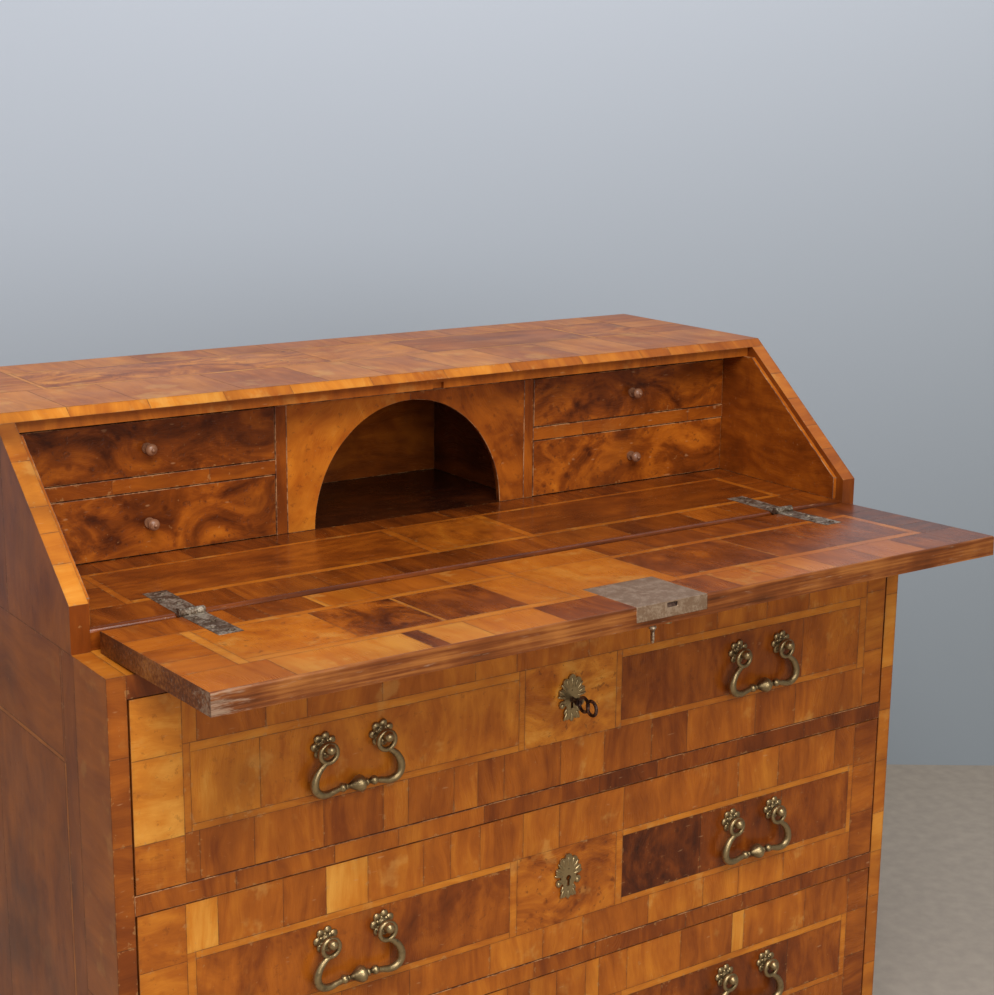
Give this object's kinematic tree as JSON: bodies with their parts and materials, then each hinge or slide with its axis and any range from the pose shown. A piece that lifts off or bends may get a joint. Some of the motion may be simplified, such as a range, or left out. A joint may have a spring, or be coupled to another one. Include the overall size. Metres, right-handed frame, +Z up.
{
  "type": "slant-front writing bureau",
  "caption": "Slant-front walnut bureau with a fall that opens on strap hinges, long drawers with brass bails, and a gallery of small drawers round an arched pigeonhole.",
  "frame": {"origin": "on the floor under the middle of the box round the open bureau (bottom centre of the bounding box)", "axes": "+X to the bureau's right as one faces it, along its width; +Y to the back; +Z up; the front faces -Y"},
  "size_m": [1.126, 0.7632, 0.9827],
  "materials": {
    "walnut_case": "old french-polished walnut veneer, cross-banded",
    "burl_walnut": "burr walnut veneer, polished",
    "veneered_drawer": "walnut panels in banded borders with light stringing",
    "turned_walnut": "turned and polished",
    "ebonised_wood": "ebonised, satin",
    "pine_carcase": "plain pine, aged",
    "oak_lining": "plain oak, aged",
    "aged_brass": "cast, tarnished with rubbed highlights",
    "dark_iron": "brown-black, slightly worn"
  },
  "bodies": {
    "case": {"side_left": "walnut_case", "side_right": "walnut_case", "top_board": "walnut_case", "back_panel": "pine_carcase", "bottom_board": "pine_carcase", "plinth": "walnut_case", "bun_feet": "ebonised_wood", "writing_board": "walnut_case", "upper_rail": "walnut_case", "drawer_rails": "walnut_case", "drawer_runners": "pine_carcase", "case_hinge_straps": "aged_brass", "hinge_pins": "aged_brass", "cheek_liners": "walnut_case", "gallery_rail": "walnut_case", "gallery_partitions": "walnut_case", "gallery_shelves": "walnut_case", "arch_panel": "burl_walnut", "pigeonhole_back": "walnut_case"},
    "fall": {"fall_board": "walnut_case", "fall_hinge_straps": "aged_brass", "fall_lock": "aged_brass", "fall_escutcheon": "aged_brass"},
    "fall_turnkey": {"fall_key": "dark_iron"},
    "fall_bolt": {"fall_lock_bolt": "dark_iron"},
    "drawer_1": {"drawer_1_front": "veneered_drawer", "drawer_1_box": "oak_lining", "drawer_1_escutcheon": "aged_brass", "drawer_1_handle_posts": "aged_brass", "drawer_1_lock": "dark_iron"},
    "drawer_1_bail_left_swing": {"drawer_1_bail_left": "aged_brass"},
    "drawer_1_bail_right_swing": {"drawer_1_bail_right": "aged_brass"},
    "drawer_2": {"drawer_2_front": "veneered_drawer", "drawer_2_box": "oak_lining", "drawer_2_escutcheon": "aged_brass", "drawer_2_handle_posts": "aged_brass", "drawer_2_lock": "dark_iron"},
    "drawer_2_bail_left_swing": {"drawer_2_bail_left": "aged_brass"},
    "drawer_2_bail_right_swing": {"drawer_2_bail_right": "aged_brass"},
    "drawer_3": {"drawer_3_front": "veneered_drawer", "drawer_3_box": "oak_lining", "drawer_3_escutcheon": "aged_brass", "drawer_3_handle_posts": "aged_brass", "drawer_3_lock": "dark_iron"},
    "drawer_3_bail_left_swing": {"drawer_3_bail_left": "aged_brass"},
    "drawer_3_bail_right_swing": {"drawer_3_bail_right": "aged_brass"},
    "drawer_1_turnkey": {"drawer_1_key": "dark_iron"},
    "drawer_1_bolt": {"drawer_1_lock_bolt": "dark_iron"},
    "small_drawer_upper_left": {"small_drawer_upper_left_front": "burl_walnut", "small_drawer_upper_left_box": "oak_lining", "small_drawer_upper_left_knob": "turned_walnut"},
    "small_drawer_upper_right": {"small_drawer_upper_right_front": "burl_walnut", "small_drawer_upper_right_box": "oak_lining", "small_drawer_upper_right_knob": "turned_walnut"},
    "small_drawer_lower_left": {"small_drawer_lower_left_front": "burl_walnut", "small_drawer_lower_left_box": "oak_lining", "small_drawer_lower_left_knob": "turned_walnut"},
    "small_drawer_lower_right": {"small_drawer_lower_right_front": "burl_walnut", "small_drawer_lower_right_box": "oak_lining", "small_drawer_lower_right_knob": "turned_walnut"}
  },
  "joints": [
    {"name": "fall_hinge", "type": "hinge", "parent": "case", "child": "fall", "pos_m": [0, -0.12144, 0.79317], "axis": [1, 0, 0], "range_deg": [-138.46, 0]},
    {"name": "fall_key_turn", "type": "hinge", "parent": "fall", "child": "fall_turnkey", "pos_m": [0.015, -0.34758, 0.77566], "axis": [0, 0.0349, 0.9994], "range_deg": [0, 180]},
    {"name": "fall_bolt_throw", "type": "slide", "parent": "fall", "child": "fall_bolt", "axis": [0, -0.9994, 0.0349], "range_m": [0, 0.008]},
    {"name": "drawer_1_slide", "type": "slide", "parent": "case", "child": "drawer_1", "axis": [0, -1, 0], "range_m": [0, 0.38]},
    {"name": "drawer_1_bail_left_hinge", "type": "hinge", "parent": "drawer_1", "child": "drawer_1_bail_left_swing", "pos_m": [-0.2765, -0.21924, 0.6552], "axis": [-1, 0, 0], "range_deg": [0, 33]},
    {"name": "drawer_1_bail_right_hinge", "type": "hinge", "parent": "drawer_1", "child": "drawer_1_bail_right_swing", "pos_m": [0.3065, -0.21924, 0.6552], "axis": [-1, 0, 0], "range_deg": [0, 33]},
    {"name": "drawer_2_slide", "type": "slide", "parent": "case", "child": "drawer_2", "axis": [0, -1, 0], "range_m": [0, 0.38]},
    {"name": "drawer_2_bail_left_hinge", "type": "hinge", "parent": "drawer_2", "child": "drawer_2_bail_left_swing", "pos_m": [-0.2765, -0.21924, 0.4328], "axis": [-1, 0, 0], "range_deg": [0, 33]},
    {"name": "drawer_2_bail_right_hinge", "type": "hinge", "parent": "drawer_2", "child": "drawer_2_bail_right_swing", "pos_m": [0.3065, -0.21924, 0.4328], "axis": [-1, 0, 0], "range_deg": [0, 33]},
    {"name": "drawer_3_slide", "type": "slide", "parent": "case", "child": "drawer_3", "axis": [0, -1, 0], "range_m": [0, 0.38]},
    {"name": "drawer_3_bail_left_hinge", "type": "hinge", "parent": "drawer_3", "child": "drawer_3_bail_left_swing", "pos_m": [-0.2765, -0.21924, 0.2187], "axis": [-1, 0, 0], "range_deg": [0, 33]},
    {"name": "drawer_3_bail_right_hinge", "type": "hinge", "parent": "drawer_3", "child": "drawer_3_bail_right_swing", "pos_m": [0.3065, -0.21924, 0.2187], "axis": [-1, 0, 0], "range_deg": [0, 33]},
    {"name": "drawer_1_key_turn", "type": "hinge", "parent": "drawer_1", "child": "drawer_1_turnkey", "pos_m": [0.015, -0.2064, 0.6385], "axis": [0, 1, 0], "range_deg": [0, 180]},
    {"name": "drawer_1_bolt_throw", "type": "slide", "parent": "drawer_1", "child": "drawer_1_bolt", "axis": [0, 0, 1], "range_m": [0, 0.008]},
    {"name": "small_drawer_upper_left_slide", "type": "slide", "parent": "case", "child": "small_drawer_upper_left", "axis": [0, -1, 0], "range_m": [0, 0.15]},
    {"name": "small_drawer_upper_right_slide", "type": "slide", "parent": "case", "child": "small_drawer_upper_right", "axis": [0, -1, 0], "range_m": [0, 0.15]},
    {"name": "small_drawer_lower_left_slide", "type": "slide", "parent": "case", "child": "small_drawer_lower_left", "axis": [0, -1, 0], "range_m": [0, 0.15]},
    {"name": "small_drawer_lower_right_slide", "type": "slide", "parent": "case", "child": "small_drawer_lower_right", "axis": [0, -1, 0], "range_m": [0, 0.15]}
  ],
  "couplings": [
    {"joint": "fall_key_turn", "follows": "fall_bolt_throw", "rad_per_m": 392.7},
    {"joint": "drawer_1_key_turn", "follows": "drawer_1_bolt_throw", "rad_per_m": 392.7}
  ]
}
